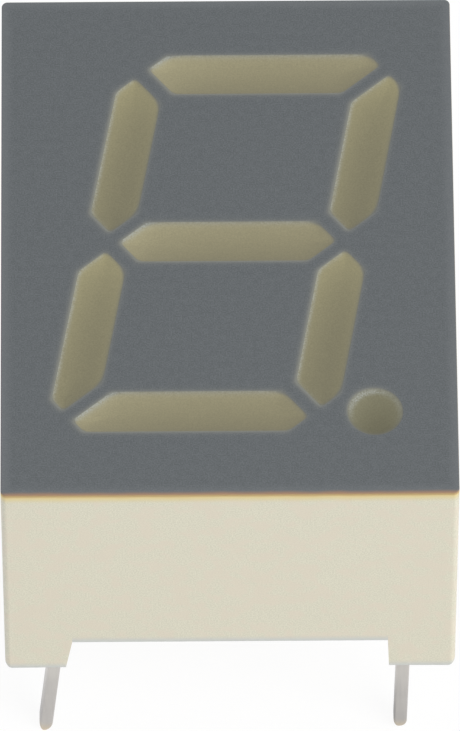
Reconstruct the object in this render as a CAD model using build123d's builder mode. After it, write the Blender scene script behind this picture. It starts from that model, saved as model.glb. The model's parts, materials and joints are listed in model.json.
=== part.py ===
from build123d import *
import os
from math import atan2, degrees, radians, sin, sqrt, tan

# One-digit seven segment LED display of the 10 mm class.
# X runs across the digit, Y up the digit and Z out of the face.
# The origin is the centre of the pin grid in the seating plane, the plane under the four feet.
# Lengths are in millimetres, angles in degrees.

# Pin grid, and the body round it
pin_pitch = 2.54
pin_row_spacing = 7.62
pins_per_row = 5
side_margin = 1.09           # pin row to the side of the body
end_margin = 1.32            # end pin to the end of the body
body_depth = 7.0             # seating plane to face
corner_radius = 0.06         # upright edges of the body
wall = 0.45                  # skirt round the circuit board

# Pins
pin_thickness = 0.3          # along X
pin_width = 0.5              # along Y
pin_length = 4.4             # below the seating plane
pin_head = 0.25              # above the front of the circuit board
pin_tip_radius = 0.14
bent_pins = {5: 5, 6: 0.8}   # pins that handling has bent, and how far to the left
bend_start = 1.2             # below the seating plane

# Feet
foot_height = 1.05
foot_width = 1.47            # along X at the rim of the skirt
left_foot_taper = 0.15       # width lost by the seating plane
right_foot_taper = 0.03
foot_edge_radius = 0.03
foot_corner_radius = 0.2     # outer side to the seating plane

# Face coat
coat_thickness = 0.08
coat_edge_radius = 0.03

# Digit, drawn upright and then slanted
digit_height = 9.75
digit_width = 6.19
digit_rise = 0.08            # digit's centre above the centre of the face
slant_angle = 10
segment_width = 1.02
segment_gap = 0.34           # across the cut between two segments
acute_corner_cut = 0.84      # along each side of the digit at its two sharp corners
obtuse_corner_cut = 0.96     # along each side of the digit at its two blunt corners
point_diameter = 1.2
point_gap = 0.21             # side of the digit to the decimal point
point_drop = 0.04            # decimal point below the centre line of the bottom segment

# Reflector cavities at the circuit board
cavity_base_length = 2.4     # tip to tip
cavity_base_width = 0.72
cavity_bevel_width = 0.05    # along each side at a corner of a cavity
chip_inset = 1.22            # pin row to the centre line of the upright segments' chips
point_base_diameter = 1.04

# Circuit board, its copper and the seal behind it
board_thickness = 1.0
board_clearance = 0.05
board_web = 0.25             # board left between an end pin's hole and a foot
pin_hole_clearance = 0.08    # round a pin in its punched hole
relief_clearance = 0.1       # round a pin's head in the back of the reflector block
copper_thickness = 0.035
track_width = 0.2
land_margin = 0.1            # copper round a pin hole
die_pad_width = 0.42
bond_pad_width = 0.3
solder_height = 0.3          # on the back of the board
seal_thickness = 0.9
seal_recess = 0.1            # seal below the rim of the skirt

# LED chips and bond wires
chip_width = 0.3
chip_height = 0.25
bond_reach = 0.55            # chip to bond pad
wire_diameter = 0.03
wire_rise = 0.15             # top of the loop above the chip

# Sizes and levels that follow
body_width = pin_row_spacing + 2 * side_margin
body_height = (pins_per_row - 1) * pin_pitch + 2 * end_margin
hole_size = (pin_thickness + 2 * pin_hole_clearance, pin_width + 2 * pin_hole_clearance)
land_size = (hole_size[0] + 2 * land_margin, hole_size[1] + 2 * land_margin)
solder_taper = degrees(atan2(land_margin, solder_height))
foot_length = end_margin - hole_size[1] / 2 - board_web - board_clearance
seal_back = foot_height + seal_recess
board_back = seal_back + seal_thickness
board_front = board_back + board_thickness
housing_front = body_depth - coat_thickness
pin_row = pin_row_spacing / 2
slant = tan(radians(slant_angle))
half_segment = segment_width / 2
half_gap = segment_gap / sqrt(2)             # half the cut between two segments, along a segment
column = digit_width / 2 - half_segment      # centre line of the upright segments
row = digit_height / 2 - half_segment        # centre line of the top segment
chip_column = pin_row - chip_inset           # centre line of the upright segments' chips


def slanted(x, y):
    return (x + y * slant, y + digit_rise)


# A segment runs along u, with v towards the outside of the digit. Each of its ends is cut by a pair
# of edges at 45 degrees, and an end is given by where its outer and its inner edge meet v = 0.
def six_sided(half_width, start, end):
    start_outer, start_inner = start
    end_outer, end_inner = end
    return [
        (end_inner - half_width, -half_width),
        ((end_outer + end_inner) / 2, (end_outer - end_inner) / 2),
        (end_outer - half_width, half_width),
        (start_outer + half_width, half_width),
        ((start_outer + start_inner) / 2, (start_inner - start_outer) / 2),
        (start_inner + half_width, -half_width),
    ]


def segment_middle(start, end):
    return (sum(start) + sum(end)) / 4


# Ends of the segments: at the middle of the digit, at a sharp corner and at a blunt corner
across_end = column - half_gap
across_acute = digit_width / 2 + half_segment - acute_corner_cut
across_obtuse = digit_width / 2 + half_segment - obtuse_corner_cut
upright_end = row - half_gap
upright_acute = digit_height / 2 + half_segment - acute_corner_cut
upright_obtuse = digit_height / 2 + half_segment - obtuse_corner_cut

# The digit looks the same turned half round, so d, e and c are a, b and f turned.
# Each line: name, turn, place of (u, v) in the upright digit, centre line at the face and at the
# circuit board, ends, side of the bond pad
top_ends = ((-across_obtuse, -across_end), (across_acute, across_end))
right_ends = ((half_gap, half_gap), (upright_acute, upright_end))
left_ends = ((half_gap, half_gap), (upright_obtuse, upright_end))
middle_ends = ((-across_end, -across_end), (across_end, across_end))


def across_place(line, u, v):
    return (u, line + v)


def right_place(line, u, v):
    return (line + v, u)


def left_place(line, u, v):
    return (-line - v, u)


segments = [
    ("a", 1, across_place, row, row, top_ends, -1),
    ("b", 1, right_place, column, chip_column, right_ends, 1),
    ("c", -1, left_place, column, chip_column, left_ends, 1),
    ("d", -1, across_place, row, row, top_ends, 1),
    ("e", -1, right_place, column, chip_column, right_ends, 1),
    ("f", 1, left_place, column, chip_column, left_ends, 1),
    ("g", 1, across_place, 0, 0, middle_ends, 1),
]

# Cavities: the space that a segment's resin fills, from the circuit board to the face
cavities = {}
chip_places = {}
bond_places = {}

for name, turn, place, front_line, base_line, ends, bond_side in segments:
    start, end = ends
    middle = segment_middle(start, end)
    base_start = (middle - cavity_base_length / 2,) * 2
    base_end = (middle + cavity_base_length / 2,) * 2

    def in_digit(line, u, v):
        x, y = place(line, u, v)
        return slanted(turn * x, turn * y)

    front_corners = [in_digit(front_line, u, v) for u, v in six_sided(half_segment, start, end)]
    base_corners = [
        in_digit(base_line, u, v) for u, v in six_sided(cavity_base_width / 2, base_start, base_end)
    ]
    # The two outlines have parallel edges, so their hull has a flat wall between each pair of edges.
    eased_corners = []
    for level, corners in ((board_front, base_corners), (body_depth, front_corners)):
        with BuildSketch(Plane.XY.offset(level)) as outline:
            Polygon(*corners, align=None)
            chamfer(outline.vertices(), cavity_bevel_width)
        eased_corners += [tuple(corner) for corner in outline.sketch.vertices()]
    with BuildPart() as cavity:
        ConvexPolyhedron(eased_corners)
    cavities["segment_" + name] = cavity.part
    chip_places[name] = in_digit(base_line, middle, 0)
    bond_places[name] = in_digit(base_line, middle + bond_side * bond_reach, 0)

point_x, point_y = slanted(digit_width / 2 + point_gap + point_diameter / 2, -row - point_drop)
with BuildPart() as cavity:
    with Locations((point_x, point_y, board_front)):
        Cone(
            point_base_diameter / 2,
            point_diameter / 2,
            body_depth - board_front,
            align=(Align.CENTER, Align.CENTER, Align.MIN),
        )
cavities["decimal_point"] = cavity.part
chip_places["dp"] = (point_x - bond_reach / 2, point_y)
bond_places["dp"] = (point_x + bond_reach / 2, point_y)

# Pins: down the left side from the top, then up the right side
pin_places = {}
for place in range(pins_per_row):
    y = (pins_per_row - 1) * pin_pitch / 2 - place * pin_pitch
    pin_places[place + 1] = (-pin_row, y)
    pin_places[2 * pins_per_row - place] = (pin_row, y)
common_pins = {3: "g", 9: "b"}
signal_pins = {1: "a", 2: "f", 4: "e", 5: "d", 6: "dp", 7: "c", 8: "g", 10: "b"}
common_links = [("g", "a"), ("g", "c"), ("g", "d"), ("g", "e"), ("g", "f"), ("a", "b"), ("d", "dp")]


# Space behind the reflector block, inside the skirt and clear of the corner posts of the feet
def back_pocket(inset):
    Rectangle(body_width - 2 * (wall + inset), body_height - 2 * (wall + inset))
    with GridLocations(body_width, body_height, 2, 2):
        Rectangle(2 * (foot_width + inset), 2 * (foot_length + inset), mode=Mode.SUBTRACT)


# Housing
with BuildPart() as housing:
    with BuildSketch():
        RectangleRounded(body_width, body_height, corner_radius)
    extrude(amount=housing_front)
    with BuildSketch():
        back_pocket(0)
    extrude(amount=board_front, mode=Mode.SUBTRACT)
    # Channels that leave a foot at each corner
    rim_x = body_width / 2 - foot_width
    with BuildSketch(Plane.XZ):
        Polygon(
            (-rim_x - left_foot_taper, 0),
            (rim_x + right_foot_taper, 0),
            (rim_x, foot_height),
            (-rim_x, foot_height),
            align=None,
        )
    extrude(amount=body_height, both=True, mode=Mode.SUBTRACT)
    with BuildSketch():
        Rectangle(body_width, body_height - 2 * foot_length)
    extrude(amount=foot_height, mode=Mode.SUBTRACT)
    fillet(housing.edges().group_by(Axis.Z)[0], foot_edge_radius)
    # Round lower corners on the outer sides
    with BuildSketch(Plane.XZ) as side_outline:
        Rectangle(body_width, housing_front, align=(Align.CENTER, Align.MIN))
        fillet(side_outline.vertices().group_by(Axis.Y)[0], foot_corner_radius)
    extrude(amount=body_height, both=True, mode=Mode.INTERSECT)
    # Reflector cavities, and room for the heads of the pins
    for cavity in cavities.values():
        add(cavity, mode=Mode.SUBTRACT)
    with BuildSketch(Plane.XY.offset(board_front)):
        with GridLocations(pin_row_spacing, pin_pitch, 2, pins_per_row):
            Rectangle(pin_thickness + 2 * relief_clearance, pin_width + 2 * relief_clearance)
    extrude(amount=pin_head + relief_clearance, mode=Mode.SUBTRACT)

# Face coat
with BuildPart() as face_coat:
    with BuildSketch(Plane.XY.offset(housing_front)):
        RectangleRounded(body_width, body_height, corner_radius)
    extrude(amount=coat_thickness)
    fillet(face_coat.faces().sort_by(Axis.Z)[-1].edges(), coat_edge_radius)
    for cavity in cavities.values():
        add(cavity, mode=Mode.SUBTRACT)

# LED chips
chips = {}
for name, chip_place in chip_places.items():
    with BuildPart() as led_chip:
        with BuildSketch(Plane.XY.offset(board_front)):
            with Locations(chip_place):
                Rectangle(chip_width, chip_width)
        extrude(amount=chip_height)
    chips[name] = led_chip.part

# Bond wires: up from the top of the chip, then straight down to the bond pad
wires = {}
half_wire = wire_diameter / 2
loop_top = chip_height + wire_rise
loop_slope = loop_top / bond_reach
half_slope = half_wire / sin(atan2(loop_top, bond_reach))
loop_bend = (half_slope + half_wire) * loop_slope
for name, chip_place in chip_places.items():
    away = Vector(*bond_places[name]) - Vector(*chip_place)
    loop_plane = Plane((*chip_place, board_front), x_dir=away, z_dir=away.cross(Vector(0, 0, 1)))
    with BuildPart() as bond_wire:
        with BuildSketch(loop_plane):
            Polygon(
                (-half_wire, chip_height),
                (half_wire, chip_height),
                (half_wire, loop_top - loop_bend),
                (bond_reach - half_slope, 0),
                (bond_reach + half_slope, 0),
                (-half_wire, loop_top + loop_bend),
                align=None,
            )
        extrude(amount=half_wire, both=True)
    wires[name] = bond_wire.part

# Segment resin, cast round the chips and the wires
resins = {}
for (node, cavity), name in zip(cavities.items(), chips):
    with BuildPart() as resin:
        add(cavity)
        add(chips[name], mode=Mode.SUBTRACT)
        add(wires[name], mode=Mode.SUBTRACT)
    resins[node] = resin.part

# Copper, level with the board's faces: tracks and lands on its front, lands on its back
with BuildPart() as copper_tracks:
    with BuildSketch(Plane.XY.offset(board_front - copper_thickness)):
        with BuildLine():
            for first, second in common_links:
                Line(chip_places[first], chip_places[second])
            for pin_number, name in common_pins.items():
                Line(pin_places[pin_number], chip_places[name])
            for pin_number, name in signal_pins.items():
                Line(pin_places[pin_number], bond_places[name])
        trace(line_width=track_width)
        with Locations(*chip_places.values()):
            Rectangle(die_pad_width, die_pad_width)
        with Locations(*bond_places.values()):
            Rectangle(bond_pad_width, bond_pad_width)
        with Locations(*pin_places.values()):
            Rectangle(*land_size)
            Rectangle(*hole_size, mode=Mode.SUBTRACT)
    extrude(amount=copper_thickness)
    with BuildSketch(Plane.XY.offset(board_back)):
        with Locations(*pin_places.values()):
            Rectangle(*land_size)
            Rectangle(*hole_size, mode=Mode.SUBTRACT)
    extrude(amount=copper_thickness)

# Circuit board
with BuildPart() as circuit_board:
    with BuildSketch(Plane.XY.offset(board_back)):
        back_pocket(board_clearance)
        with Locations(*pin_places.values()):
            Rectangle(*hole_size, mode=Mode.SUBTRACT)
    extrude(amount=board_thickness)
    add(copper_tracks.part, mode=Mode.SUBTRACT)

# Pins
pins = {}
half_pin = pin_thickness / 2
pin_top = board_front + pin_head
free_length = pin_length - bend_start
for pin_number, (x, y) in pin_places.items():
    tip_x = x - free_length * tan(radians(bent_pins.get(pin_number, 0)))
    with BuildPart() as pin:
        with BuildSketch(Plane.XZ.offset(-y)):
            Polygon(
                (x - half_pin, pin_top),
                (x - half_pin, -bend_start),
                (x + half_pin, -bend_start),
                (x + half_pin, pin_top),
                align=None,
            )
            Polygon(
                (x - half_pin, -bend_start),
                (tip_x - half_pin, -pin_length),
                (tip_x + half_pin, -pin_length),
                (x + half_pin, -bend_start),
                align=None,
            )
        extrude(amount=pin_width / 2, both=True)
        fillet(pin.faces().sort_by(Axis.Z)[0].edges(), pin_tip_radius)
    pins[pin_number] = pin.part

# Solder: a filling in each pin hole and a tapered fillet on the back of the board
with BuildPart() as solder_joints:
    with BuildSketch(Plane.XY.offset(board_back)):
        with Locations(*pin_places.values()):
            Rectangle(*hole_size)
    extrude(amount=board_thickness)
    with BuildSketch(Plane.XY.offset(board_back)):
        with Locations(*pin_places.values()):
            Rectangle(*land_size)
    extrude(amount=-solder_height, taper=solder_taper)
    with BuildSketch(Plane.XY.offset(board_back - solder_height)):
        with Locations(*pin_places.values()):
            Rectangle(pin_thickness, pin_width)
    extrude(amount=solder_height + board_thickness, mode=Mode.SUBTRACT)

# Back seal
with BuildPart() as back_seal:
    with BuildSketch(Plane.XY.offset(seal_back)):
        back_pocket(0)
        with Locations(*pin_places.values()):
            Rectangle(pin_thickness, pin_width, mode=Mode.SUBTRACT)
    extrude(amount=seal_thickness)
    add(solder_joints.part, mode=Mode.SUBTRACT)

# One file for each piece
pieces = {
    "housing": housing.part,
    "face_coat": face_coat.part,
    "circuit_board": circuit_board.part,
    "copper_tracks": copper_tracks.part,
    "solder_joints": solder_joints.part,
    "back_seal": back_seal.part,
}
pieces.update(resins)
for name in chips:
    pieces["led_chip_" + name] = chips[name]
    pieces["bond_wire_" + name] = wires[name]
for pin_number, pin_part in pins.items():
    pieces["pin_" + str(pin_number)] = pin_part

os.makedirs("parts", exist_ok=True)
for name, piece in pieces.items():
    piece.label = name
    export_step(piece, "parts/" + name + ".step")
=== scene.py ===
import json
import math

import bpy
import numpy as np
from mathutils import Matrix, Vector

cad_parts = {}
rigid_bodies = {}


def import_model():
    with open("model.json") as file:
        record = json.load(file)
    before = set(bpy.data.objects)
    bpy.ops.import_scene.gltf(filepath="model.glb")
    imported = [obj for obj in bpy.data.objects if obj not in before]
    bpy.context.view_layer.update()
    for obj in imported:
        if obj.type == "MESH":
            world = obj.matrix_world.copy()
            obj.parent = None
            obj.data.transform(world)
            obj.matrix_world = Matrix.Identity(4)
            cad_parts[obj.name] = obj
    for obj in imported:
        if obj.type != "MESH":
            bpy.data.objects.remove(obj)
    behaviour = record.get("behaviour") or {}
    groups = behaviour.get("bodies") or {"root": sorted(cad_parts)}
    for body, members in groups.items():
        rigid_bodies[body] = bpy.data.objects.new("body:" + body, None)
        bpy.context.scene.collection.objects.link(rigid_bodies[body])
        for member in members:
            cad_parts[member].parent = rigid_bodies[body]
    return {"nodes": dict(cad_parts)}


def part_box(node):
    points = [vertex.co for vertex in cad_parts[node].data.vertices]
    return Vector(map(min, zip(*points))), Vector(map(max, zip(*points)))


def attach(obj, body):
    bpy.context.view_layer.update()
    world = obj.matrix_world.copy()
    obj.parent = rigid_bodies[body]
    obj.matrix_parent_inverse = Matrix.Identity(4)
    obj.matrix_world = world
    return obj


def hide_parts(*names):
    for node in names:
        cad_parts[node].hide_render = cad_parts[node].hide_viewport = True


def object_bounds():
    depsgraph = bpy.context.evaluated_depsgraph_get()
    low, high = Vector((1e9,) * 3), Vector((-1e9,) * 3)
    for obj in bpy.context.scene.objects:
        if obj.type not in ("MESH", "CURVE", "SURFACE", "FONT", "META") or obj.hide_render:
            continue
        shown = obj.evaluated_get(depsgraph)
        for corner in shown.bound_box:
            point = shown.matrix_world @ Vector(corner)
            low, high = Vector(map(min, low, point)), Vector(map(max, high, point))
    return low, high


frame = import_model()
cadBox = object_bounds()
nodes = frame["nodes"]
mm = 0.001                                   # sizes below are in millimetres, the scene is in metres
mergeDigits = 5                              # decimals of a millimetre by which two points are told apart
bars = "abcdefg"                             # the seven segments of the digit
digitSlope = math.tan(math.radians(10.0))    # the digit slants to the right by 10 degrees
print("frame loaded:", len(nodes), "nodes")


# Points of a solid, each one once, and the three points of each of its triangles
def solidMesh(node):
    mesh = nodes[node].data
    points = np.empty(len(mesh.vertices) * 3, np.float32)
    corners = np.empty(len(mesh.loops), np.int32)
    mesh.vertices.foreach_get("co", points)
    mesh.loops.foreach_get("vertex_index", corners)
    rounded = np.round(points.reshape(-1, 3).astype(float) / mm, mergeDigits)
    merged, index = np.unique(rounded, axis=0, return_inverse=True)
    return merged, index.reshape(-1)[corners].reshape(-1, 3)


# Outlines of a solid's base and front, and their heights
def endOutlines(node):
    points = solidMesh(node)[0]
    low, high = points[:, 2].min(), points[:, 2].max()
    base, front = (points[points[:, 2] == level][:, :2] for level in (low, high))
    return base, front, low, high


# Middle and radius of a round outline
def roundOutline(points):
    return (points.min(axis=0) + points.max(axis=0)) / 2, np.ptp(points[:, 0]) / 2


# Points of a circle with a radius of 1
def circlePoints(count):
    angle = np.linspace(0, 2 * np.pi, count, endpoint=False)
    return np.stack([np.cos(angle), np.sin(angle)], axis=-1)


# Colours are written as screen values from 0 to 255, and the screen's curve makes them linear
def screenColour(red, green, blue):
    share = np.array([red, green, blue]) / 255
    linear = np.where(share <= 0.04045, share / 12.92, ((share + 0.055) / 1.055) ** 2.4)
    return (*linear.tolist(), 1.0)


# Small helpers for node trees: a value is either a number, a colour or the output of another node
def feed(tree, socket, value):
    if isinstance(value, bpy.types.NodeSocket):
        tree.links.new(value, socket)
    else:
        socket.default_value = value


def useMath(tree, operation, *values):
    node = tree.nodes.new("ShaderNodeMath")
    node.operation = operation
    for socket, value in zip(node.inputs, values):
        feed(tree, socket, value)
    return node.outputs[0]


def useRange(tree, value, span, result, curve="LINEAR"):
    node = tree.nodes.new("ShaderNodeMapRange")
    node.interpolation_type = curve
    names = ("Value", "From Min", "From Max", "To Min", "To Max")
    for name, number in zip(names, (value, *span, *result)):
        feed(tree, node.inputs[name], number)
    return node.outputs["Result"]


# From a share at 0 softly down to nothing at the reach
def useFade(tree, value, reach, share=1.0):
    return useRange(tree, value, (0.0, reach), (share, 0.0), "SMOOTHSTEP")


def useMix(tree, factor, first, second):
    node = tree.nodes.new("ShaderNodeMix")
    node.data_type = "RGBA"
    for number, value in ((0, factor), (6, first), (7, second)):      # 6 and 7 are the sockets for colours
        feed(tree, node.inputs[number], value)
    return node.outputs[2]


def useNoise(tree, vector, scale, detail=2.0):
    node = tree.nodes.new("ShaderNodeTexNoise")
    feed(tree, node.inputs["Vector"], vector)
    feed(tree, node.inputs["Scale"], scale)
    node.inputs["Detail"].default_value = detail
    return node.outputs["Fac"]


def useBump(tree, height, distance, strength):
    node = tree.nodes.new("ShaderNodeBump")
    node.inputs["Distance"].default_value = distance * mm
    node.inputs["Strength"].default_value = strength
    feed(tree, node.inputs["Height"], height)
    return node.outputs["Normal"]


def useAttribute(tree, name):
    node = tree.nodes.new("ShaderNodeAttribute")
    node.attribute_name = name
    return node.outputs["Fac"]


def objectPlace(tree):
    return tree.nodes.new("ShaderNodeTexCoord").outputs["Object"]


def usePlace(tree):
    apart = tree.nodes.new("ShaderNodeSeparateXYZ")
    feed(tree, apart.inputs[0], objectPlace(tree))
    return apart.outputs


def useGroup(tree, group, **values):
    node = tree.nodes.new("ShaderNodeGroup")
    node.node_tree = group
    for name, value in values.items():
        feed(tree, node.inputs[name.replace("_", " ")], value)
    return node.outputs


# Shared effects, each one a node group with named sockets
effects = {
    "toothDetail": 1.0, "cloudDetail": 3.0,              # how rough the noise of the grain is
    "toothSpan": (0.25, 0.75), "cloudSpan": (0.3, 0.7),  # values between which that noise mostly lies
    "waverScale": 1800.0,                                # how closely a feathered edge wavers
}


def startGroup(name, inputs, outputs):
    tree = bpy.data.node_groups.new(name, "ShaderNodeTree")
    for way, socketNames in (("INPUT", inputs), ("OUTPUT", outputs)):
        for socketName in socketNames:
            tree.interface.new_socket(name=socketName, in_out=way, socket_type="NodeSocketFloat")
    return tree, tree.nodes.new("NodeGroupInput").outputs, tree.nodes.new("NodeGroupOutput").inputs


# Grain: fine tooth of a moulded or sprayed surface, with wide pale and dark clouds under it
def makeGrain():
    tree, given, result = startGroup("surface grain", ("Tooth Scale", "Cloud Scale"), ("Tooth", "Cloud"))
    place = objectPlace(tree)
    feed(tree, result["Tooth"], useNoise(tree, place, given["Tooth Scale"], effects["toothDetail"]))
    feed(tree, result["Cloud"], useNoise(tree, place, given["Cloud Scale"], effects["cloudDetail"]))
    return tree


# Feather: 0 below a level and 1 above it along some value, with a soft and slightly wavering edge
def makeFeather():
    tree, given, result = startGroup("level feather", ("Along", "Level", "Width", "Waver"), ("Mask",))
    shake = useMath(tree, "SUBTRACT", useNoise(tree, objectPlace(tree), effects["waverScale"]), 0.5)
    along = useMath(tree, "ADD", given["Along"], useMath(tree, "MULTIPLY", shake, given["Waver"]))
    above = useMath(tree, "DIVIDE", useMath(tree, "SUBTRACT", along, given["Level"]), given["Width"])
    feed(tree, result["Mask"], useRange(tree, above, (-0.5, 0.5), (0.0, 1.0), "SMOOTHSTEP"))
    return tree


# Specks: sparse round spots, one in some of the cells of a cell pattern
def makeSpecks():
    tree, given, result = startGroup("sparse specks", ("Scale", "Radius", "Share"), ("Mask",))
    cells = tree.nodes.new("ShaderNodeTexVoronoi")
    feed(tree, cells.inputs["Vector"], objectPlace(tree))
    feed(tree, cells.inputs["Scale"], given["Scale"])
    spot = useFade(tree, cells.outputs["Distance"], given["Radius"])
    draw = tree.nodes.new("ShaderNodeSeparateColor")
    feed(tree, draw.inputs[0], cells.outputs["Color"])
    chosen = useMath(tree, "LESS_THAN", draw.outputs["Red"], given["Share"])
    feed(tree, result["Mask"], useMath(tree, "MULTIPLY", spot, chosen))
    return tree


# Bar distance: how far a place lies outside a bar with pointed ends, as the greatest distance from its
# eight sides, eased at the corners. The sides are level, upright and at 45 degrees in the upright digit
barSides = {"Right": (1, 0), "Left": (-1, 0), "Upper": (0, 1), "Lower": (0, -1),
            "Upper Right": (1, 1), "Upper Left": (-1, 1), "Lower Right": (1, -1), "Lower Left": (-1, -1)}


def makeBarDistance():
    tree, given, result = startGroup("bar distance", ("Across", "Up", "Easing", *barSides), ("Distance",))
    farthest = None
    for name, (across, up) in barSides.items():
        along = useMath(tree, "ADD", useMath(tree, "MULTIPLY", given["Across"], across),
                        useMath(tree, "MULTIPLY", given["Up"], up))
        past = useMath(tree, "SUBTRACT", along, given[name])
        beyond = useMath(tree, "DIVIDE", past, math.hypot(across, up))
        if farthest is None:
            farthest = beyond
        else:
            farthest = useMath(tree, "SMOOTH_MAX", farthest, beyond, given["Easing"])
    feed(tree, result["Distance"], farthest)
    return tree


grainGroup = makeGrain()
featherGroup = makeFeather()
speckGroup = makeSpecks()
barGroup = makeBarDistance()
print("effects: grain, feather, speck and bar distance groups ready")


def useGrain(tree, look):
    return useGroup(tree, grainGroup, Tooth_Scale=look["toothScale"], Cloud_Scale=look["cloudScale"])


def useTooth(tree, grain, result):
    return useRange(tree, grain["Tooth"], effects["toothSpan"], result)


def useCloud(tree, grain, result):
    return useRange(tree, grain["Cloud"], effects["cloudSpan"], result)


# Two tones mixed by the clouds and the tooth together
def grainTones(tree, grain, look):
    cloud = useCloud(tree, grain, look["cloudTone"])
    tooth = useTooth(tree, grain, look["toothTone"])
    return useMix(tree, useMath(tree, "ADD", cloud, tooth), look["deep"], look["pale"])


def useFeather(tree, along, level, width, waver):
    return useGroup(tree, featherGroup, Along=along, Level=level, Width=width, Waver=waver)["Mask"]


def addSpecks(tree, colour, tone, scale, radius, share, strength):
    mask = useGroup(tree, speckGroup, Scale=scale, Radius=radius, Share=share)["Mask"]
    return useMix(tree, useMath(tree, "MULTIPLY", mask, strength), colour, tone)


def startMaterial(name):
    material = bpy.data.materials.new(name)
    material.use_nodes = True
    tree = material.node_tree
    return material, tree, tree.nodes["Principled BSDF"].inputs


# What every finish links to its shader. Its bump is a height and a strength, and its plain values are the
# ones that are the same all over
def finishShader(tree, shader, look, colour, rough, relief):
    feed(tree, shader["Base Color"], colour)
    feed(tree, shader["Roughness"], rough)
    feed(tree, shader["Normal"], useBump(tree, relief, *look["bump"]))
    for socketName, value in look["plain"].items():
        shader[socketName].default_value = value


# Ivory moulding: satin plastic with a fine tooth and faint rosy patches, a warm line where the coat thins
# out at the front edge, and painted shade along the lower edges, greyer where the mould rounds them off
ivory = {
    "pale": screenColour(223, 219, 200), "deep": screenColour(211, 207, 187),
    "toothScale": 30000.0, "toothTone": (-1.4, 1.4), "cloudScale": 5000.0, "cloudTone": (0.35, 0.65),
    "blush": screenColour(221, 210, 192), "blushShare": 0.6, "blushScale": 2900.0, "blushSpan": (0.42, 0.62),
    "inkGlow": screenColour(221, 203, 144), "glowWidth": 0.29,
    "inkLine": screenColour(207, 181, 129), "lineWidth": 0.06, "inkWaver": 0.055,
    # Painted shade on the lower edges: its colour, its reach up from them and its depth in from the sides
    "lowerEdgeShade": screenColour(201, 203, 199), "lowerShadeReach": 0.25, "lowerShadeDepth": 0.12,
    "rough": (0.46, 0.56), "bump": (0.003, 0.5), "plain": {"Specular IOR Level": 0.35},
}


# Height above the lower edge: the ground under a foot, the rim of the skirt between the feet. The rim's
# ends are the points of the front and of the side that lie nearest to the middle
def heightAboveEdge(tree, place):
    points = solidMesh("housing")[0]
    front, side = (points[points[:, axis] == points[:, axis].min()] for axis in (1, 0))
    frontEnd = front[np.argmin(np.abs(front[:, 0]))]
    sideEnd = side[np.argmin(np.abs(side[:, 1]))]
    pastFront = useMath(tree, "GREATER_THAN", useMath(tree, "ABSOLUTE", place["X"]), abs(frontEnd[0]) * mm)
    pastSide = useMath(tree, "GREATER_THAN", useMath(tree, "ABSOLUTE", place["Y"]), abs(sideEnd[1]) * mm)
    foot = useMath(tree, "MULTIPLY", pastFront, pastSide)
    edge = useRange(tree, foot, (0.0, 1.0), (frontEnd[2] * mm, 0.0))
    return useMath(tree, "SUBTRACT", place["Z"], edge)


# Distance from the nearest side of the face
def sideDistance(tree, place):
    halfX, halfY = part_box("face_coat")[1][:2]
    inX = useMath(tree, "SUBTRACT", halfX, useMath(tree, "ABSOLUTE", place["X"]))
    inY = useMath(tree, "SUBTRACT", halfY, useMath(tree, "ABSOLUTE", place["Y"]))
    return useMath(tree, "MINIMUM", inX, inY)


def ivoryPlastic():
    material, tree, shader = startMaterial("ivory plastic")
    look = ivory
    place = usePlace(tree)
    grain = useGrain(tree, look)
    patches = useGroup(tree, grainGroup, Cloud_Scale=look["blushScale"])["Cloud"]
    blush = useRange(tree, patches, look["blushSpan"], (0.0, look["blushShare"]), "SMOOTHSTEP")
    moulded = useMix(tree, blush, grainTones(tree, grain, look), look["blush"])
    # Painted shade: greyer near the lower edges of the outer faces, where the rounded edge turns from the
    # light
    lower = useFade(tree, heightAboveEdge(tree, place), look["lowerShadeReach"] * mm)
    outer = useFade(tree, sideDistance(tree, place), look["lowerShadeDepth"] * mm)
    colour = useMix(tree, useMath(tree, "MULTIPLY", lower, outer), moulded, look["lowerEdgeShade"])
    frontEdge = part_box("housing")[1].z
    for tone, width in (("inkGlow", look["glowWidth"] * mm), ("inkLine", look["lineWidth"] * mm)):
        inked = useFeather(tree, place["Z"], frontEdge - width / 2, width, look["inkWaver"] * mm)
        colour = useMix(tree, inked, colour, look[tone])
    finishShader(tree, shader, look, colour, useCloud(tree, grain, look["rough"]), grain["Tooth"])
    return material


# Grey coat: sprayed matt ink with a fine tooth and a few dust specks. It is brown where it thins out over
# the front edge, a little worn along its sides, and takes a pale glow from the resin round each opening
greyCoatLook = {
    "pale": screenColour(107, 111, 113), "deep": screenColour(91, 95, 97),
    "toothScale": 32000.0, "toothTone": (-0.7, 0.7), "cloudScale": 6000.0, "cloudTone": (0.33, 0.63),
    "worn": screenColour(121, 124, 126), "wornReach": 0.3, "wornShare": 0.4,
    "dust": {"tone": screenColour(132, 133, 131), "scale": 1700.0, "radius": 0.08, "share": 0.08,
             "strength": 0.3},
    "thin": screenColour(158, 128, 103), "thinReach": 0.11, "thinPlace": 0.4, "thinWaver": 0.05,
    "side": screenColour(190, 163, 115), "sideDepth": 0.3, "sideWidth": 0.5,     # shares of the thickness
    "glow": screenColour(150, 149, 136), "glowReach": 0.04, "glowShare": 0.52, "glowEasing": 0.1,
    # The glow lies a little to one side of each bar and of the point, and is drawn in at the point
    "barShift": (-0.03, -0.012), "pointShift": (-0.04, 0.03), "pointInset": 0.042,
    "rough": (0.72, 0.86), "bump": (0.004, 0.5), "plain": {"Specular IOR Level": 0.2},
}


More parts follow.
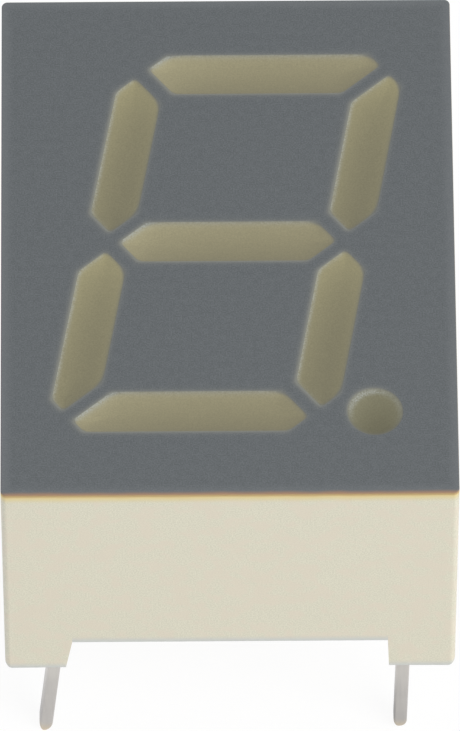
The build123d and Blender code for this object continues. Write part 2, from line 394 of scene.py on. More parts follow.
# Distance from the nearest opening of the coat: the round point, or one of the bars of the upright digit
def openingDistance(tree, place):
    look = greyCoatLook
    middle, radius = roundOutline(endOutlines("decimal_point")[1])
    centre = (middle + look["pointShift"]) * mm
    away = [useMath(tree, "POWER", useMath(tree, "SUBTRACT", place[axis], at), 2.0)
            for axis, at in zip("XY", centre.tolist())]
    fromCentre = useMath(tree, "SQRT", useMath(tree, "ADD", *away))
    nearest = useMath(tree, "SUBTRACT", fromCentre, float(radius - look["pointInset"]) * mm)
    upright = useMath(tree, "SUBTRACT", place["X"], useMath(tree, "MULTIPLY", place["Y"], digitSlope))
    easing = look["glowEasing"] * mm
    for letter in bars:
        outline = (endOutlines("segment_" + letter)[1] + look["barShift"]) * mm
        outline[:, 0] -= outline[:, 1] * digitSlope
        reach = {name.replace(" ", "_"): float((outline @ side).max()) for name, side in barSides.items()}
        fromBar = useGroup(tree, barGroup, Across=upright, Up=place["Y"], Easing=easing, **reach)["Distance"]
        nearest = useMath(tree, "MINIMUM", nearest, fromBar)
    return nearest


def greyCoat():
    material, tree, shader = startMaterial("grey coat")
    look = greyCoatLook
    low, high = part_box("face_coat")
    place = usePlace(tree)
    grain = useGrain(tree, look)
    worn = useFade(tree, sideDistance(tree, place), look["wornReach"] * mm, look["wornShare"])
    sprayed = useMix(tree, worn, grainTones(tree, grain, look), look["worn"])
    dusty = addSpecks(tree, sprayed, **look["dust"])
    # The glow falls off as exp(-distance / reach)
    reaches = useMath(tree, "DIVIDE", openingDistance(tree, place), -look["glowReach"] * mm)
    fall = useMath(tree, "MINIMUM", useMath(tree, "EXPONENT", reaches), 1.0)
    lit = useMix(tree, useMath(tree, "MULTIPLY", fall, look["glowShare"]), dusty, look["glow"])
    thinReach = look["thinReach"] * mm
    thinEnd = low.y + thinReach * look["thinPlace"]
    inside = useFeather(tree, place["Y"], thinEnd, thinReach, look["thinWaver"] * mm)
    covered = useMix(tree, inside, look["thin"], lit)
    thickness = high.z - low.z
    sideEnd = high.z - thickness * look["sideDepth"]
    front = useFeather(tree, place["Z"], sideEnd, thickness * look["sideWidth"], 0.0)
    colour = useMix(tree, front, look["side"], covered)
    finishShader(tree, shader, look, colour, useTooth(tree, grain, look["rough"]), grain["Tooth"])
    return material


# Milky resin with fine filler in it: its two tones follow the shade attribute, painted light and shade with
# the difference from cast to cast added. It fades into the coat at the rim, and a painted highlight runs
# along the rim where the wetted edge would catch the light
resinLook = {
    # Pale and deep of each kind are the ends of the painted light and shade over its front
    "across": {"pale": screenColour(164, 157, 125), "deep": screenColour(122, 117, 93)},
    "upright": {"pale": screenColour(159, 152, 116), "deep": screenColour(117, 113, 91)},
    "point": {"pale": screenColour(137, 134, 109), "deep": screenColour(95, 92, 71)},
    "toothScale": 30000.0, "toothTone": (0.91, 1.09), "cloudScale": 5000.0, "cloudTone": (0.99, 1.01),
    "edge": screenColour(110, 112, 108),
    # Painted highlight along the rim: its colour, and how the grain breaks it up
    "rimHighlight": screenColour(158, 161, 154), "rimHighlightSpan": (0.3, 0.7), "rimHighlightTone": (0.3, 1.7),
    "rough": (0.36, 0.42), "bump": (0.001, 0.4), "plain": {"Specular IOR Level": 0.3},
}


def milkyResin(kind):
    material, tree, shader = startMaterial("milky resin " + kind)
    look = resinLook
    grain = useGrain(tree, look)
    # Painted light and shade, with the cast's own difference, read from the shade attribute
    cast = useMix(tree, useAttribute(tree, "shade"), look[kind]["pale"], look[kind]["deep"])
    tooth = useTooth(tree, grain, look["toothTone"])
    cloud = useCloud(tree, grain, look["cloudTone"])
    filler = tree.nodes.new("ShaderNodeVectorMath")
    filler.operation = "SCALE"
    feed(tree, filler.inputs[0], cast)
    feed(tree, filler.inputs["Scale"], useMath(tree, "MULTIPLY", tooth, cloud))
    faded = useMix(tree, useAttribute(tree, "rim"), filler.outputs["Vector"], look["edge"])
    broken = useRange(tree, grain["Tooth"], look["rimHighlightSpan"], look["rimHighlightTone"])
    colour = useMix(tree, useMath(tree, "MULTIPLY", useAttribute(tree, "rimHighlight"), broken), faded, look["rimHighlight"])
    finishShader(tree, shader, look, colour, useCloud(tree, grain, look["rough"]), grain["Tooth"])
    return material


# Tin plate on the pins: matt grey metal, drawn lengthwise, with a painted reflection of the body that makes
# it paler towards the body, warmer at the sheared tip, and painted shade along the left side that the piece
# marks
tinLook = {
    "pale": screenColour(200, 197, 192), "deep": screenColour(181, 177, 174),
    "streakScale": (9000.0, 9000.0, 350.0), "streakDetail": 3.0, "streakShare": 0.6,
    "cloudScale": 900.0, "cloudShare": 0.4,
    # Painted reflection of the body on the upper part of each pin: its colour, share, and where it fades out
    "upper": screenColour(217, 214, 206), "reflectionShare": 0.7,
    "reflectionLevel": -1.6, "reflectionWidth": 2.0, "reflectionWaver": 0.4,
    "tip": screenColour(204, 190, 166), "tipLevel": 0.2, "tipWidth": 0.45, "tipWaver": 0.2,
    # Painted shade along the left side of each pin
    "edge": screenColour(112, 110, 112),
    "rough": (0.36, 0.52), "bump": (0.003, 0.5), "plain": {"Metallic": 0.9},
}


def tinnedMetal():
    material, tree, shader = startMaterial("tinned metal")
    look = tinLook
    stretch = tree.nodes.new("ShaderNodeMapping")
    feed(tree, stretch.inputs["Vector"], objectPlace(tree))
    stretch.inputs["Scale"].default_value = look["streakScale"]
    streak = useNoise(tree, stretch.outputs["Vector"], 1.0, look["streakDetail"])
    clouds = useGroup(tree, grainGroup, Cloud_Scale=look["cloudScale"])
    tone = useMath(tree, "ADD", useRange(tree, streak, effects["cloudSpan"], (0.0, look["streakShare"])),
                   useCloud(tree, clouds, (0.0, look["cloudShare"])))
    drawn = useMix(tree, tone, look["deep"], look["pale"])
    height = usePlace(tree)["Z"]
    # Painted reflection of the body, paler towards it
    upper = useFeather(tree, height, look["reflectionLevel"] * mm, look["reflectionWidth"] * mm,
                       look["reflectionWaver"] * mm)
    plate = useMix(tree, useMath(tree, "MULTIPLY", upper, look["reflectionShare"]), drawn, look["upper"])
    # Painted shade along the left side, and darker low on some pins
    sideShaded = useMix(tree, useAttribute(tree, "edge"), plate, look["edge"])
    aboveTip = useFeather(tree, height, cadBox[0].z + look["tipLevel"] * mm, look["tipWidth"] * mm,
                          look["tipWaver"] * mm)
    colour = useMix(tree, aboveTip, look["tip"], sideShaded)
    rough = useRange(tree, streak, effects["cloudSpan"], look["rough"])
    finishShader(tree, shader, look, colour, rough, streak)
    return material


# Cast seal on the back: glossy cream resin with clouds and a few small bubbles under the skin
sealLook = {
    "pale": screenColour(214, 205, 176), "deep": screenColour(196, 184, 150),
    "toothScale": 2500.0, "cloudScale": 420.0,
    "bubbles": {"tone": screenColour(232, 226, 206), "scale": 1100.0, "radius": 0.12, "share": 0.16,
                "strength": 0.6},
    "rough": (0.16, 0.26), "bump": (0.02, 0.25), "plain": {"Coat Weight": 0.4, "Coat Roughness": 0.08},
}


def sealResin():
    material, tree, shader = startMaterial("seal resin")
    look = sealLook
    grain = useGrain(tree, look)
    body = useMix(tree, useCloud(tree, grain, (0.0, 1.0)), look["deep"], look["pale"])
    colour = addSpecks(tree, body, **look["bubbles"])
    finishShader(tree, shader, look, colour, useCloud(tree, grain, look["rough"]), grain["Tooth"])
    return material


# Inner parts: two tones broken up by the shared grain
innerGrain = {"toothScale": 9000.0, "bump": (0.003, 0.4)}
innerLooks = {
    "board laminate": {"pale": screenColour(176, 174, 120), "deep": screenColour(150, 150, 96),
                       "cloudScale": 1400.0, "rough": (0.5, 0.65), "plain": {"Metallic": 0.0}},
    "copper": {"pale": screenColour(224, 150, 112), "deep": screenColour(196, 118, 84),
               "cloudScale": 1600.0, "rough": (0.28, 0.42), "plain": {"Metallic": 1.0}},
    "solder": {"pale": screenColour(205, 206, 208), "deep": screenColour(168, 170, 174),
               "cloudScale": 2400.0, "rough": (0.22, 0.4), "plain": {"Metallic": 1.0}},
    "chip": {"pale": screenColour(148, 128, 104), "deep": screenColour(112, 96, 80),
             "cloudScale": 5000.0, "rough": (0.3, 0.45), "plain": {"Metallic": 0.0}},
    "gold wire": {"pale": screenColour(236, 200, 116), "deep": screenColour(214, 170, 84),
                  "cloudScale": 9000.0, "rough": (0.2, 0.3), "plain": {"Metallic": 1.0}},
}


def innerMaterial(name):
    material, tree, shader = startMaterial(name)
    look = {**innerGrain, **innerLooks[name]}
    grain = useGrain(tree, look)
    colour = useMix(tree, useCloud(tree, grain, (0.0, 1.0)), look["deep"], look["pale"])
    finishShader(tree, shader, look, colour, useTooth(tree, grain, look["rough"]), grain["Tooth"])
    return material


# A mesh from points in millimetres, in an object at the origin
def addMesh(name, points, faces, material, smooth=False, attributes=None):
    mesh = bpy.data.meshes.new(name)
    mesh.from_pydata((points * mm).tolist(), [], faces)
    mesh.polygons.foreach_set("use_smooth", np.full(len(mesh.polygons), smooth))
    for key, values in (attributes or {}).items():
        mesh.attributes.new(key, "FLOAT", "POINT").data.foreach_set("value", values.astype(np.float32))
    mesh.materials.append(material)
    mesh.update()
    piece = bpy.data.objects.new(name, mesh)
    bpy.context.scene.collection.objects.link(piece)
    return piece


# Closed body from a stack of loops: neighbouring loops are joined by quads, and each end closes on a pole
def stackLoops(name, loops, firstPole, lastPole, material, attributes=None):
    count, around = loops.shape[:2]
    index = np.arange(count * around).reshape(count, around)
    turned = np.roll(index, -1, axis=1)
    quads = np.stack([index[:-1], turned[:-1], turned[1:], index[1:]], axis=-1).reshape(-1, 4)
    first, last = count * around, count * around + 1
    fans = np.concatenate([
        np.stack([turned[0], index[0], np.full(around, first)], axis=-1),
        np.stack([index[-1], turned[-1], np.full(around, last)], axis=-1),
    ])
    points = np.concatenate([loops.reshape(-1, 3), [firstPole, lastPole]])
    # A body that comes out with a negative volume is inside out, so its faces are turned round
    halves = np.concatenate([quads[:, [0, 1, 2]], quads[:, [0, 2, 3]], fans])
    corners = [points[halves[:, number]] for number in range(3)]
    volume = np.einsum("ij,ij->", corners[0], np.cross(corners[1], corners[2]))
    if volume < 0:
        quads, fans = quads[:, ::-1], fans[:, ::-1]
    return addMesh(name, points, quads.tolist() + fans.tolist(), material, True, attributes)


def finishPiece(piece, node):
    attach(piece, "root")
    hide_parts(node)


# Segments: resin cast level with the coat at its rim and sunk between its walls as it cured
segmentForm = {
    "around": 360, "pointAround": 180, "wallLoops": 5,   # points round a bar and the point, loops up a wall
    "rings": 44, "ringPower": 1.5,                       # loops from rim to middle, crowded at the rim
    "directions": 2880,                                  # directions in which corners are looked for
    "rimDrop": 0.004,                                    # rim below the coat
    "edgeDrop": 0.005, "edgeWidth": 0.03,                # wetted edge
    "bowl": {"across": 0.1, "upright": 0.07, "point": 0.08},          # depth of the dish inside it
    "bowlReach": {"across": 0.51, "upright": 0.51, "point": 0.6},
    "softness": 0.03, "softLift": 0.35,                  # round valleys at the corners, and their lift
    "poleShare": 0.01,                                   # share of the point's radius with no clear way in
    "cornerRadius": 0.12,                                # the coat runs over the corners by this radius
    "fadeInset": {"across": -0.015, "upright": -0.015, "point": 0.02}, "fadeWidth": 0.025,
    "fadeShift": {"across": (0.0, -0.025), "upright": (-0.025, 0.0)},
    # Painted highlight along the rim, where the wetted edge would catch the light: how far inside the
    # outline, how wide, the way in at which it is strongest, and its share at a right angle to that
    "rimHighlight": {
        "across": {"inset": 0.0, "width": 0.085, "share": 0.65, "side": (0.8, -0.6), "farShare": 0.0},
        "upright": {"inset": 0.0, "width": 0.06, "share": 0.5, "side": (0.94, -0.34), "farShare": 0.0},
        "point": {"inset": 0.075, "width": 0.06, "share": 0.68, "side": (0.6, -0.8), "farShare": 0.18},
    },
}


# Outline corners at the base and at the front: a corner is the farthest point in some direction, and the
# two outlines have parallel edges, so one direction finds the matching corner of each
def matchedCorners(base, front):
    ways = circlePoints(segmentForm["directions"]).T
    farBase = np.argmax(base @ ways, axis=0)
    farFront = np.argmax(front @ ways, axis=0)
    starts = np.flatnonzero(farFront != np.roll(farFront, 1))
    spans = (np.roll(starts, -1) - starts) % len(farFront)
    middles = (starts + spans // 2) % len(farFront)
    return base[farBase[middles]], front[farFront[middles]]


# Straight runs between the corners, each with the same number of points
def cornerLoop(corners):
    around = segmentForm["around"]
    closed = np.concatenate([corners, corners[:1]])
    along = np.arange(around) / around * len(corners)
    return np.stack([np.interp(along, np.arange(len(closed)), closed[:, axis]) for axis in (0, 1)], axis=-1)


# Depth inside a bar, the way in, and the depth inside its outline with rounded corners. Depth: the least
# distance to the edges, with a soft minimum so that valleys are round. Way: the edges' own ways in with the
# same weights. Rounded depth, in the outline moved by the shift: the radius less the root of the sum of
# squares of what each edge's distance falls short of it
def barDepths(corners, shift):
    along = np.roll(corners, -1, axis=0) - corners
    inward = np.stack([-along[:, 1], along[:, 0]], axis=-1) / np.linalg.norm(along, axis=1)[:, None]
    soft, radius = segmentForm["softness"], segmentForm["cornerRadius"]

    def depths(points):
        each = np.einsum("pek,ek->pe", points[:, None, :] - corners[None], inward)
        least = each.min(axis=1)
        weights = np.exp(-(each - least[:, None]) / soft)
        blend = least - soft * np.log(weights.sum(axis=1)) + soft * segmentForm["softLift"]
        way = weights @ inward / weights.sum(axis=1)[:, None]
        moved = each - inward @ shift
        short = np.linalg.norm(np.clip(radius - moved, 0, None), axis=1)
        rounded = np.where(moved.min(axis=1) > radius, moved.min(axis=1), radius - short)
        return np.clip(np.minimum(blend, least), 0, None), way, rounded

    return depths


# The same for a round outline, whose depth is the radius less the distance from its middle
def ringDepths(middle, radius):
    def depths(points):
        away = points - middle
        length = np.linalg.norm(away, axis=1)
        inside = np.clip(radius - length, 0, None)
        return inside, -away / np.maximum(length, radius * segmentForm["poleShare"])[:, None], inside

    return depths


# Painted light and shade over the front, 0 pale and 1 deep, with the difference from cast to cast added.
# Level bars are painted paler at the left end and along the top, upright ones at the top end and along both
# sides, the point at the top and along both sides
paintedShadeAndCastForm = {
    "across": {"level": 0.6, "end": 0.5, "endReach": 0.2, "side": 0.15},
    "upright": {"level": 0.86, "end": 0.68, "endReach": 0.28, "side": 0.23, "farSide": 0.23},
    "point": {"level": 0.66, "end": 0.24, "side": 0.4, "farSide": 0.25},
    "trough": 0.6,                              # share of the width at which the deepest tone lies
    # Difference between one cast and the next
    "cast": {"a": 0.04, "b": 0.06, "c": 0.08, "d": 0.11, "e": 0.0, "f": 0.05, "g": 0.06},
}


# Painted light and shade of a bar, with its cast's own difference added: level + cast - end x exp(-share
# along / reach) - side. On a level bar the side's part is side x (1 - 2 x share across), on the others side
# x the square of the distance from the trough. The point's end tone runs evenly from top to bottom
def paintedShadeAndCast(kind, points, outline, cast):
    form, trough = paintedShadeAndCastForm[kind], paintedShadeAndCastForm["trough"]
    shear = np.array([[1.0, 0.0], [0.0 if kind == "point" else -digitSlope, 1.0]])
    place, edge = points @ shear, outline @ shear
    share = (place - edge.min(axis=0)) / np.ptp(edge, axis=0)
    right, down = share[:, 0], 1 - share[:, 1]
    if kind == "across":
        end = np.exp(-right / form["endReach"])
        side = form["side"] * (1 - 2 * down)
    else:
        end = np.exp(-down / form["endReach"]) if kind == "upright" else 1 - 2 * down
        near = np.clip((trough - right) / trough, 0, None) ** 2
        far = np.clip((right - trough) / (1 - trough), 0, None) ** 2
        side = form["side"] * near + form["farSide"] * far
    return form["level"] + cast - form["end"] * end - side


# What the resin's finish reads. Rim: 1 / (1 + exp((rounded depth - inset) / width)). Rim highlight, a
# painted
# highlight: a bell curve over the depth, by the square of the cosine between the way in and its side. Shade:
# the painted light and shade above, with the cast's difference
def resinTones(kind, points, depths, outline, cast):
    form, rimHighlight = segmentForm, segmentForm["rimHighlight"][kind]
    inside, way, rounded = depths
    right, up = rimHighlight["side"]
    # Painted highlight along the rim, strongest on the side that faces the light
    near = rimHighlight["share"] * np.clip(way @ (right, up), 0, 1) ** 2
    far = rimHighlight["farShare"] * np.clip(way @ (up, -right), 0, 1) ** 2
    return {
        "rim": 1 / (1 + np.exp((rounded - form["fadeInset"][kind]) / form["fadeWidth"])),
        "rimHighlight": (near + far) * np.exp(-((inside - rimHighlight["inset"]) / rimHighlight["width"]) ** 2),
        "shade": np.clip(paintedShadeAndCast(kind, points, outline, cast), 0, 1),
    }


# Resin body: walls run straight from base to rim, the front is rim loops drawn in towards the middle, sunk
# by edge drop x (1 - exp(-distance / edge width)) plus a dish that grows to its full depth at the middle
def resinBody(name, kind, baseLoop, frontLoop, low, high, depths, cast=0.0):
    form = segmentForm
    rim = high - form["rimDrop"]
    rise = np.linspace(0, 1, form["wallLoops"])[:, None, None]
    level = np.broadcast_to(low + (rim - low) * rise, (len(rise), len(frontLoop), 1))
    wall = np.concatenate([baseLoop * (1 - rise) + frontLoop * rise, level], axis=-1)
    middle = frontLoop.mean(axis=0)
    drawn = (np.arange(1, form["rings"]) / form["rings"])[:, None, None] ** form["ringPower"]
    flat = frontLoop * (1 - drawn) + middle * drawn
    flatPoints = np.concatenate([flat.reshape(-1, 2), middle[None]])
    flatDepths = depths(flatPoints)
    inside = flatDepths[0]
    dish = 1 - (1 - np.clip(inside / form["bowlReach"][kind], 0, 1)) ** 2
    sunk = form["edgeDrop"] * (1 - np.exp(-inside / form["edgeWidth"])) + form["bowl"][kind] * dish
    front = np.concatenate([flatPoints, (rim - sunk)[:, None]], axis=-1)
    loops = np.concatenate([wall, front[:-1].reshape(*flat.shape[:2], 3)])
    onRim = resinTones(kind, frontLoop, depths(frontLoop), frontLoop, cast)
    onFront = resinTones(kind, flatPoints, flatDepths, frontLoop, cast)
    # The wall takes the tones of the rim, then come the front rings, the base pole and the front pole
    attributes = {}
    for key, tone in onRim.items():
        rings, frontPole = onFront[key][:-1], onFront[key][-1:]
        attributes[key] = np.concatenate([np.tile(tone, len(wall)), rings, tone[:1], frontPole])
    basePole = (*baseLoop.mean(axis=0), low)
    return stackLoops(name, loops, basePole, front[-1], resins[kind], attributes)


resins = {kind: milkyResin(kind) for kind in ("across", "upright", "point")}
for letter in bars:
    node = "segment_" + letter
    kind = "across" if letter in "adg" else "upright"
    base, front, low, high = endOutlines(node)
    baseCorners, frontCorners = matchedCorners(base, front)
    depths = barDepths(frontCorners, segmentForm["fadeShift"][kind])
    piece = resinBody("resin_" + letter, kind, cornerLoop(baseCorners), cornerLoop(frontCorners), low, high,
                      depths, paintedShadeAndCastForm["cast"][letter])
    finishPiece(piece, node)

base, front, low, high = endOutlines("decimal_point")
pointMiddle, pointRadius = roundOutline(front)
circle = circlePoints(segmentForm["pointAround"])
piece = resinBody("resin_point", "point", pointMiddle + roundOutline(base)[1] * circle,
                  pointMiddle + pointRadius * circle, low, high, ringDepths(pointMiddle, pointRadius))
finishPiece(piece, "decimal_point")
print("resin: seven segments and the decimal point")


# Pins: a blade section with rounded edges carried down a path, rounded over at the tip
pinForm = {
    "count": 10, "around": 64, "levels": 70, "tipLevels": 14,
    "power": 4.5,                            # how square the section is
    "tipRadius": 0.145, "tipFlat": 1 / 30,   # rounding at the tip, and the share of its turn left out
    "tipOffset": 0.04, "tipThinning": 0.25,  # how far left of the middle it lies, its thinning in depth
    "bendStart": 1.2, "bendSoftness": 0.15,
    # Painted shade on the left side, away from the light: share of the half width, heights where it starts
    # and is full
    "edgeWidth": 0.32, "shadeTop": -2.3, "shadeFull": -3.8,
    # Strength of that painted shade and of a darker lower part, height of the tip, and what a pin lacks in
    # length
    "usual": {"edge": 0.5, "lowerDarkening": 0.0, "tipHeight": 0.24, "cutShort": 0.0},
    "own": {5: {"edge": 0.4}, 6: {"edge": 0.8, "lowerDarkening": 0.14, "tipHeight": 0.15, "cutShort": 0.085}},
}


def pinNode(number):
    return "pin_" + str(number)


def pinBox(number):
    return np.array([list(corner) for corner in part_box(pinNode(number))]) / mm


# Section: the curve where |x/a|^n + |y/b|^n = 1. Path: straight, and past the bend it leans by slope x
# softness x log(1 + exp(distance past the bend / softness)). Tip: the section draws in along a quarter
# ellipse
def pinBlade(number, straightWidth):
    form = pinForm
    own = {**form["usual"], **form["own"].get(number, {})}
    low, high = pinBox(number)
    low[2] += own["cutShort"]
    lean = straightWidth - (high[0] - low[0])
    turn = circlePoints(form["around"])
    section = np.sign(turn) * np.abs(turn) ** (2 / form["power"])
    quarter = np.linspace(0, np.pi / 2 * (1 - form["tipFlat"]), form["tipLevels"])
    levels = np.concatenate([np.linspace(high[2], low[2] + own["tipHeight"], form["levels"])[:-1],
                             low[2] + own["tipHeight"] * (1 - np.sin(quarter))])
    levels[-1] = low[2]
    drawnIn = np.concatenate([np.zeros(form["levels"] - 1), 1 - np.cos(quarter)])
    inset = form["tipRadius"] * drawnIn
    half = np.array([(high[0] - low[0] - abs(lean)) / 2, (high[1] - low[1]) / 2])
    past = (-form["bendStart"] - levels) / form["bendSoftness"]
    slope = lean / (-form["bendStart"] - low[2])
    shift = slope * form["bendSoftness"] * np.logaddexp(0, past) - form["tipOffset"] * drawnIn
    straight = high[0] - half[0] if lean < 0 else low[0] + half[0]
    across = straight + shift[:, None] + section[None, :, 0] * (half[0] - inset)[:, None]
    along = (low[1] + high[1]) / 2 + section[None, :, 1] * (half[1] - form["tipThinning"] * inset)[:, None]
    loops = np.stack([across, along, np.broadcast_to(levels[:, None], across.shape)], axis=-1)
    # Painted shade along the left side, growing from its top down to where it is full, and a darker lower
    # part
    down = np.clip((levels - form["shadeTop"]) / (form["shadeFull"] - form["shadeTop"]), 0, 1)
    shadedSide = np.clip((-section[:, 0] - 1 + form["edgeWidth"]) / form["edgeWidth"], 0, 1)
    dark = np.clip(down[:, None] * (own["edge"] * shadedSide + own["lowerDarkening"]), 0, 1)
    attributes = {"edge": np.append(dark, [0.0, dark[-1].mean()])}
    topPole, tipPole = loops[0].mean(axis=0), loops[-1].mean(axis=0)
    return stackLoops("blade_" + str(number), loops, topPole, tipPole, tin, attributes)


tin = tinnedMetal()
pinNumbers = range(1, pinForm["count"] + 1)
straightWidth = np.ptp(pinBox(1)[:, 0])                # pin 1 isn't bent
for number in pinNumbers:
    finishPiece(pinBlade(number, straightWidth), pinNode(number))
print("pins: ten blades")


# Back seal: resin poured flat, drawn up along the skirt and round each pin
sealForm = {
    "spacing": 0.07, "leastPoints": 4, "rings": 70, "ringPower": 0.9,
    "wallClimb": 0.06, "wallReach": 0.16, "pinClimb": 0.07, "pinReach": 0.12, "sag": 0.05, "sagReach": 1.5,
}


# Outline of the pocket: a rectangle with a notch at each corner, found from the solid's own corners
def pocketCorners(rim):
    reach = np.abs(rim).max(axis=0)
    notchX = np.abs(rim[np.isclose(np.abs(rim[:, 1]), reach[1]), 0]).max()
    notchY = np.abs(rim[np.isclose(np.abs(rim[:, 0]), reach[0]), 1]).max()
    quarter = np.array([(reach[0], notchY), (notchX, notchY), (notchX, reach[1])])
    return np.concatenate([quarter, quarter[::-1] * (-1, 1), quarter * (-1, -1), quarter[::-1] * (1, -1)])


# Distance from the pocket's walls: the least distance to the straight edges of its outline
def wallDistance(corners, points):
    along = np.roll(corners, -1, axis=0) - corners
    away = points[:, None, :] - corners[None]
    share = np.clip(np.einsum("pek,ek->pe", away, along) / (along ** 2).sum(axis=1), 0, 1)
    return np.linalg.norm(away - share[..., None] * along, axis=2).min(axis=1)


# Distance from the nearest pin: each one's section stands half its width outside its box's inner side
def pinDistance(points):
    boxes = np.array([pinBox(number)[:, :2] for number in pinNumbers])
    half = np.ptp(boxes[0], axis=0) / 2
    inner = np.abs(boxes[:, :, 0]).min(axis=1) + half[0]
    middles = np.stack([np.sign(boxes[:, 0, 0]) * inner, boxes[:, :, 1].mean(axis=1)], axis=-1)
    gap = np.clip(np.abs(points[:, None] - middles[None]) - half, 0, None)
    return np.linalg.norm(gap, axis=2).min(axis=1)


# Seal surface: loops drawn from the outline in to the middle, lowered towards the rim of the skirt by
# climb x exp(-distance / reach) at the walls and the pins, and raised towards the board by a wide sag
def sealBody():
    form = sealForm
    rim, _, low, high = endOutlines("back_seal")
    corners = pocketCorners(rim)
    ends = np.roll(corners, -1, axis=0)
    counts = np.ceil(np.linalg.norm(ends - corners, axis=1) / form["spacing"]).astype(int)
    counts = np.maximum(counts, form["leastPoints"])
    outline = np.concatenate([start + (end - start) * (np.arange(count) / count)[:, None]
                              for start, end, count in zip(corners, ends, counts)])
    drawn = (np.arange(form["rings"]) / form["rings"])[:, None, None] ** form["ringPower"]
    flat = np.concatenate([(outline * (1 - drawn)).reshape(-1, 2), [[0.0, 0.0]]])
    wall = wallDistance(corners, flat)
    height = low - form["wallClimb"] * np.exp(-wall / form["wallReach"])
    height = height - form["pinClimb"] * np.exp(-pinDistance(flat) / form["pinReach"])
    height = height + form["sag"] * (1 - np.exp(-wall / form["sagReach"]))
    back = np.column_stack([flat, height])
    top = np.column_stack([outline, np.full(len(outline), high)])[None]
    loops = np.concatenate([top, back[:-1].reshape(form["rings"], len(outline), 3)])
    return stackLoops("seal_cast", loops, (0.0, 0.0, high), back[-1], sealResin())


finishPiece(sealBody(), "back_seal")
print("back seal: poured resin")


# Housing and coat: the solids with their upright edges eased
edgeForm = {
    "solidRadius": 0.06, "radius": 0.13, "footCorner": 0.2,
    "tolerance": 1e-4, "leastLength": 1e-9,  # nearness that counts as on the arc, least length to divide by
}


# Eased edge: a point on an edge's small arc goes to a larger arc, at the same angle and as far inside it.
# Points of the front between the arc and the round corner of a foot are drawn in evenly to meet it, and
# stay on that corner
def easedPoints(points):
    form, foot = edgeForm, edgeForm["footCorner"]
    half = np.array(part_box("housing")[1][:2]) / mm
    sign, place = np.sign(points[:, :2]), np.abs(points[:, :2])
    extra = form["radius"] - form["solidRadius"]
    away = place - (half - form["solidRadius"])
    onArc = (away > -form["tolerance"]).all(axis=1)
    length = np.maximum(np.linalg.norm(away, axis=1), form["leastLength"])[:, None]
    arc = half - form["radius"] + away / length * (length + extra)
    fromFoot = place[:, 0] - (half[0] - foot)
    span = foot - form["solidRadius"]
    onFront = (fromFoot > 0) & (away[:, 1] > 0) & ~onArc
    drawn = np.stack([half[0] - foot + fromFoot * (1 - extra / span), place[:, 1]], axis=-1)
    eased = np.where(onArc[:, None], arc, np.where(onFront[:, None], drawn, place))
    inFoot = np.clip(eased[:, 0] - half[0] + foot, 0, None)
    corner = foot - np.sqrt(foot ** 2 - inFoot ** 2)
    onFoot = (onArc | onFront) & (points[:, 2] < foot - form["tolerance"])
    return np.column_stack([eased * sign, np.where(onFoot, corner, points[:, 2])])


def easedBody(name, node, material):
    points, triangles = solidMesh(node)
    return addMesh(name, easedPoints(points), triangles.tolist(), material)


finishPiece(easedBody("moulding", "housing", ivoryPlastic()), "housing")
finishPiece(easedBody("coat_layer", "face_coat", greyCoat()), "face_coat")
print("body: moulding and coat")


# Finish of the parts inside, which stay as the solids are
def dress(node, material):
    mesh = nodes[node].data
    mesh.materials.clear()
    mesh.materials.append(material)


dress("circuit_board", innerMaterial("board laminate"))
dress("copper_tracks", innerMaterial("copper"))
dress("solder_joints", innerMaterial("solder"))
chipMaterial = innerMaterial("chip")
wireMaterial = innerMaterial("gold wire")
for letter in (*bars, "dp"):
    dress("led_chip_" + letter, chipMaterial)
    dress("bond_wire_" + letter, wireMaterial)
print("finishes: inner parts dressed")


# Floor, light and camera
studio = {
    "floorRadius": 1500.0, "floorSides": 96, "floorColour": screenColour(236, 236, 234),
    "shadowShare": 0.08, "white": (1.0, 1.0, 1.0, 1.0),
    "ambient": 0.53, "ambientColour": screenColour(253, 254, 255),
    # Turn and rise are in degrees, and turn is counted from the front towards the right
    "lights": {
        "key": {"turn": 48.0, "rise": 46.0, "distance": 350.0, "size": 200.0, "power": 0.8,
                "colour": (1.0, 1.0, 1.0)},
        "fill": {"turn": 105.0, "rise": 30.0, "distance": 400.0, "size": 200.0, "power": 0.09,
                 "colour": (1.0, 1.0, 1.0)},
        "side": {"turn": -101.0, "rise": 6.0, "distance": 400.0, "size": 200.0, "power": 0.38,
                 "colour": (0.87, 0.96, 1.32)},
    },
}


# White where it is looked at, by eye or in a reflection, and an ordinary surface for the light itself
def seenRays(tree):
    path = tree.nodes.new("ShaderNodeLightPath").outputs
    mirrored = useMath(tree, "MAXIMUM", path["Is Glossy Ray"], path["Is Transmission Ray"])
    return useMath(tree, "MAXIMUM", path["Is Camera Ray"], mirrored)


def useShader(tree, kind, **values):
    node = tree.nodes.new("ShaderNode" + kind)
    for name, value in values.items():
        node.inputs[name].default_value = value
    return node.outputs[0]


def mixShaders(tree, factor, first, second):
    node = tree.nodes.new("ShaderNodeMixShader")
    for number, value in enumerate((factor, first, second)):
        feed(tree, node.inputs[number], value)
    return node.outputs[0]


def makeFloor():
    material = bpy.data.materials.new("pale floor")
    material.use_nodes = True
    tree = material.node_tree
    tree.nodes.clear()
    paper = useShader(tree, "BsdfDiffuse", Color=studio["floorColour"])
    shaded = useShader(tree, "BsdfDiffuse", Color=studio["white"])
    seen = mixShaders(tree, studio["shadowShare"], useShader(tree, "Emission"), shaded)
    upper = mixShaders(tree, seenRays(tree), paper, seen)
    # From below the floor is clear, so that the underside can be looked at
    below = tree.nodes.new("ShaderNodeNewGeometry").outputs["Backfacing"]
    surface = mixShaders(tree, below, upper, useShader(tree, "BsdfTransparent"))
    tree.links.new(surface, tree.nodes.new("ShaderNodeOutputMaterial").inputs["Surface"])
    ring = circlePoints(studio["floorSides"]) * studio["floorRadius"]
    points = np.column_stack([ring, np.full(len(ring), cadBox[0].z / mm)])
    addMesh("floor", points, [list(range(len(ring)))], material)


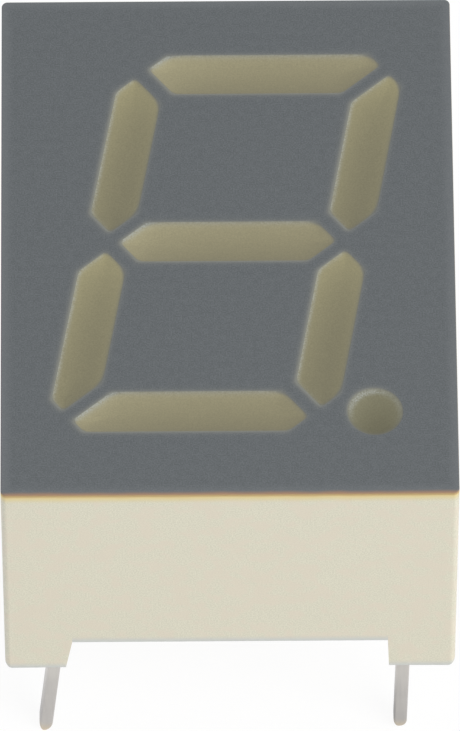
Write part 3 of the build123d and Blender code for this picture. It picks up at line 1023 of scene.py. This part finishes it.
def makeWorld():
    world = bpy.data.worlds.new("studio")
    world.use_nodes = True
    tree = world.node_tree
    tree.nodes.clear()
    soft = useShader(tree, "Background", Color=studio["ambientColour"], Strength=studio["ambient"])
    white = useShader(tree, "Background", Color=studio["white"])
    surface = mixShaders(tree, seenRays(tree), soft, white)
    tree.links.new(surface, tree.nodes.new("ShaderNodeOutputWorld").inputs["Surface"])
    bpy.context.scene.world = world


# Puts an object into the scene, with its own axes and place
def addObject(name, data, right, up, back, place):
    matrix = np.identity(4)
    matrix[:3] = np.column_stack([right, up, back, place * mm])
    thing = bpy.data.objects.new(name, data)
    bpy.context.scene.collection.objects.link(thing)
    thing.matrix_world = Matrix(matrix.tolist())
    return thing


# A square soft light, aimed at the origin
def makeLight(name, turn, rise, distance, size, power, colour):
    turn, rise = math.radians(turn), math.radians(rise)
    back = np.array([math.sin(turn) * math.cos(rise), -math.cos(turn) * math.cos(rise), math.sin(rise)])
    right = np.cross((0.0, 0.0, 1.0), back)
    right /= np.linalg.norm(right)
    lamp = bpy.data.lights.new(name, "AREA")
    lamp.energy = power
    lamp.size = size * mm
    lamp.color = colour
    addObject(name, lamp, right, np.cross(back, right), back, back * distance)


# Camera, set by the corners of the body in the picture
view = {
    "tilt": 33.045, "turn": 0.408, "roll": 0.030,       # degrees from above, round the body, in the picture
    "aimRight": 0.0453, "aimUp": 1.1972,                # centre of the picture from the origin
    "distance": 282.07, "pixelsPerMm": 45.318, "imageHeight": 731, "sensorHeight": 36.0,
    "near": 10.0, "far": 20000.0,
}


def flatTurn(angle):
    cosine, sine = math.cos(angle), math.sin(angle)
    return np.array([[cosine, -sine, 0], [sine, cosine, 0], [0, 0, 1]])


def makeCamera():
    tilt, turn, roll = (math.radians(view[key]) for key in ("tilt", "turn", "roll"))
    pitch = np.array([[1, 0, 0], [0, math.cos(tilt), math.sin(tilt)], [0, -math.sin(tilt), math.cos(tilt)]])
    right, up, back = flatTurn(roll) @ pitch @ flatTurn(turn)
    data = bpy.data.cameras.new("camera")
    data.sensor_fit = "VERTICAL"
    data.sensor_height = view["sensorHeight"]
    data.lens = view["pixelsPerMm"] * view["distance"] * view["sensorHeight"] / view["imageHeight"]
    data.clip_start = view["near"] * mm
    data.clip_end = view["far"] * mm
    aim = view["aimRight"] * right + view["aimUp"] * up
    bpy.context.scene.camera = addObject("camera", data, right, up, back, aim + view["distance"] * back)


makeFloor()
makeWorld()
for name, form in studio["lights"].items():
    makeLight(name, **form)
makeCamera()
bpy.context.scene.view_settings.view_transform = "Standard"
print("studio: floor, light and camera")
